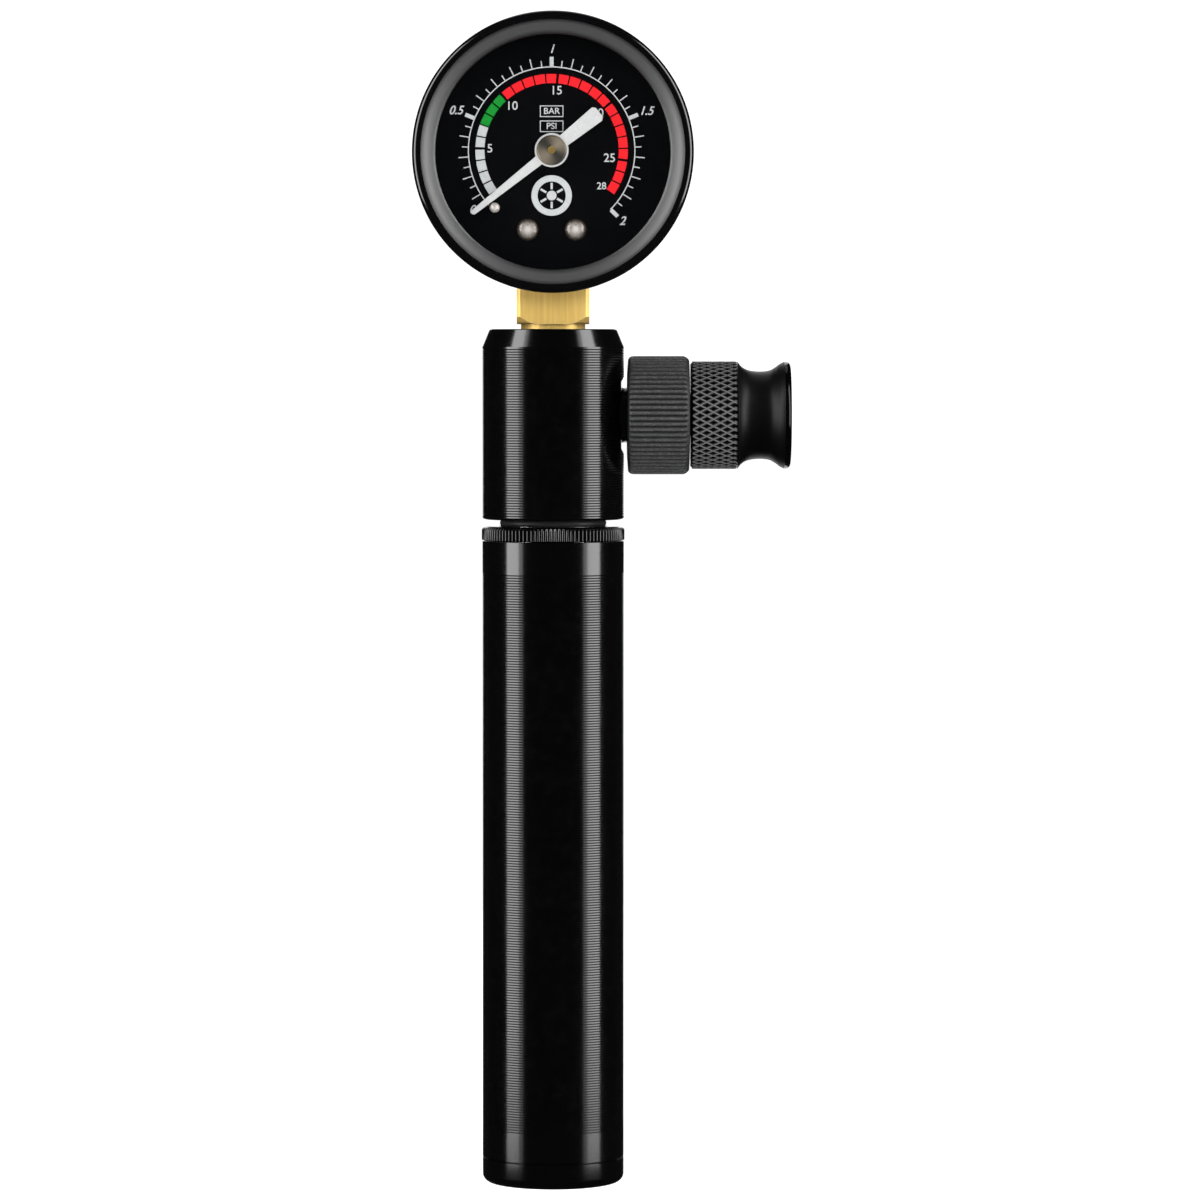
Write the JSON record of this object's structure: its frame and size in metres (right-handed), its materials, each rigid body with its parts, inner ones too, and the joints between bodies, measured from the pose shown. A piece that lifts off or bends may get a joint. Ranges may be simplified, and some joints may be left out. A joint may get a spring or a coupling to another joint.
{
  "type": "hand air pump with pressure gauge",
  "caption": "Slim black hand air pump with a sliding grooved handle, a round dial gauge on a brass socket and a knurled screw-on valve coupling at the side of its head.",
  "frame": {"origin": "centre of the end cap's flat face at the foot of the handle", "axes": "+Z along the pump's axis towards the gauge, +X along the outlet, -Y the way the dial faces"},
  "size_m": [0.0582, 0.025, 0.1809],
  "materials": {
    "black_anodised": "glossy black anodised, finely grooved or knurled where held",
    "gloss_black": "deep gloss black lacquer",
    "black_plastic": "fine grained matte",
    "brass": "satin machined",
    "steel": "drawn and machined",
    "nickel": "bright nickel plate",
    "dark_nickel": "turned dark nickel",
    "dial_black": "satin printed dial",
    "pointer_white": "matte white",
    "rubber": "plain",
    "white_plastic": "plain",
    "clear_lens": "polished"
  },
  "bodies": {
    "head": {"pump_head": "black_anodised", "pump_barrel": "steel", "barrel_seal": "rubber", "neck_ring": "rubber", "rod_guide": "white_plastic", "valve_spring": "steel", "gauge_seal": "rubber", "outlet_stem": "black_anodised", "stem_seal": "rubber", "valve_seal": "rubber", "gauge_socket": "brass", "gauge_case": "gloss_black", "bezel_ring": "gloss_black", "gauge_lens": "clear_lens", "lens_gasket": "rubber", "dial_plate": "dial_black", "zero_stop_pin": "nickel", "dial_screw_left": "nickel", "dial_screw_right": "nickel", "movement_front_plate": "brass", "movement_back_plate": "brass", "movement_pillar_1": "brass", "movement_pillar_2": "brass", "movement_pillar_3": "brass", "movement_pillar_4": "brass", "plate_screw_left": "steel", "plate_screw_right": "steel", "hairspring": "steel", "bourdon_tube": "brass", "tube_tip": "brass"},
    "piston": {"piston_head": "white_plastic", "piston_ring": "rubber"},
    "handle": {"end_cap": "black_anodised", "handle_tube": "black_anodised", "handle_collar": "black_anodised", "guide_bush": "white_plastic", "piston_rod": "steel", "rod_nut": "steel", "piston_nut": "steel", "rod_bumper": "rubber"},
    "poppet": {"check_valve": "brass"},
    "knob": {"pin_knob": "black_plastic"},
    "pin": {"core_pin": "steel", "cross_pin": "steel"},
    "nut": {"thumb_nut": "black_anodised", "thread_insert": "brass"},
    "needle": {"pointer": "pointer_white", "pointer_hub": "dark_nickel", "pinion_arbor": "brass"},
    "sector": {"sector_gear": "brass"},
    "link": {"tip_link": "brass"}
  },
  "joints": [
    {"name": "pump_stroke", "type": "slide", "parent": "head", "child": "piston", "axis": [0, 0, -1], "range_m": [0, 0.075]},
    {"name": "handle_spin", "type": "hinge", "parent": "piston", "child": "handle", "pos_m": [0, 0, 0.103], "axis": [0, 0, 1], "continuous": true},
    {"name": "valve_lift", "type": "slide", "parent": "head", "child": "poppet", "axis": [0, 0, 1], "range_m": [0, 0.0012], "stiffness_N_per_m": 60, "springref_m": -0.002, "deforming": ["valve_spring"]},
    {"name": "pin_knob_turn", "type": "hinge", "parent": "head", "child": "knob", "pos_m": [0.016, 0, 0.11915], "axis": [1, 0, 0], "range_deg": [0, 270]},
    {"name": "core_pin_slide", "type": "slide", "parent": "head", "child": "pin", "axis": [1, 0, 0], "range_m": [0, 0.0017]},
    {"name": "thumb_nut_spin", "type": "hinge", "parent": "head", "child": "nut", "pos_m": [0.026, 0, 0.11915], "axis": [1, 0, 0], "continuous": true},
    {"name": "pointer_sweep", "type": "hinge", "parent": "head", "child": "needle", "pos_m": [-0.0002, 0, 0.15977], "axis": [0, 1, 0], "range_deg": [0, 263], "stiffness_Nm_per_rad": 0.00005, "springref_deg": -28.65},
    {"name": "sector_swing", "type": "hinge", "parent": "head", "child": "sector", "pos_m": [0.00784, 0, 0.15302], "axis": [0, 1, 0], "range_deg": [-44, 0]},
    {"name": "link_swing", "type": "hinge", "parent": "sector", "child": "link", "pos_m": [0.01009, 0, 0.14912], "axis": [0, 1, 0], "range_deg": [0, 44]}
  ],
  "couplings": [
    {"joint": "core_pin_slide", "follows": "pin_knob_turn", "m_per_rad": 0.00034},
    {"joint": "sector_swing", "follows": "pointer_sweep", "ratio": -0.16667},
    {"joint": "link_swing", "follows": "pointer_sweep", "ratio": 0.16667}
  ]
}
